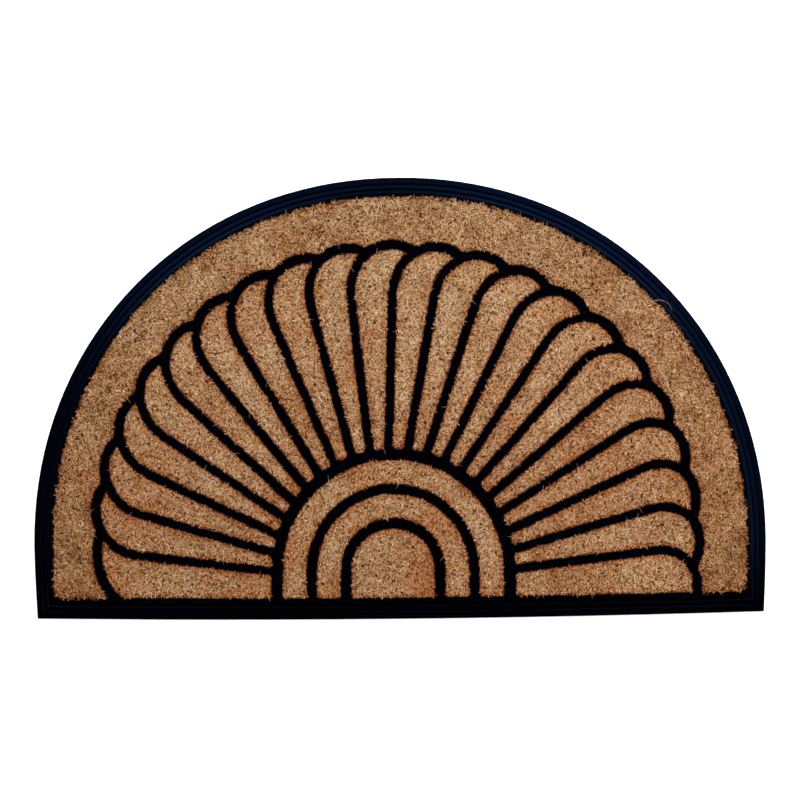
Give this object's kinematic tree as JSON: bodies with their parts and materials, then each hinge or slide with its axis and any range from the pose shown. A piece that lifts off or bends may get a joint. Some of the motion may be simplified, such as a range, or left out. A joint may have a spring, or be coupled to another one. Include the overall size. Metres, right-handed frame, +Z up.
{
  "type": "half-round doormat",
  "caption": "Half-round doormat: a moulded rubber tray with a ridged rim, its cells filled with coir pile in a fan of leaning petals round a small arched sun.",
  "frame": {"origin": "under the middle of the mat's box, on the surface it lies on", "axes": "+X along the straight edge, +Y from the straight edge towards the top of the arc, +Z up through the pile"},
  "size_m": [0.75, 0.4524, 0.0121],
  "materials": {
    "rubber": "matt moulded rubber",
    "coir": "cut coir fibre pile"
  },
  "bodies": {
    "root": {"rubber_tray": "rubber", "coir_border": "coir", "coir_petal_01": "coir", "coir_petal_02": "coir", "coir_petal_03": "coir", "coir_petal_04": "coir", "coir_petal_05": "coir", "coir_petal_06": "coir", "coir_petal_07": "coir", "coir_petal_08": "coir", "coir_petal_09": "coir", "coir_petal_10": "coir", "coir_petal_11": "coir", "coir_petal_12": "coir", "coir_petal_13": "coir", "coir_petal_14": "coir", "coir_petal_15": "coir", "coir_petal_16": "coir", "coir_petal_17": "coir", "coir_petal_18": "coir", "coir_petal_19": "coir", "coir_petal_20": "coir", "coir_petal_21": "coir", "coir_petal_22": "coir", "coir_arch_outer": "coir", "coir_arch_inner": "coir", "coir_sun": "coir"}
  },
  "joints": []
}
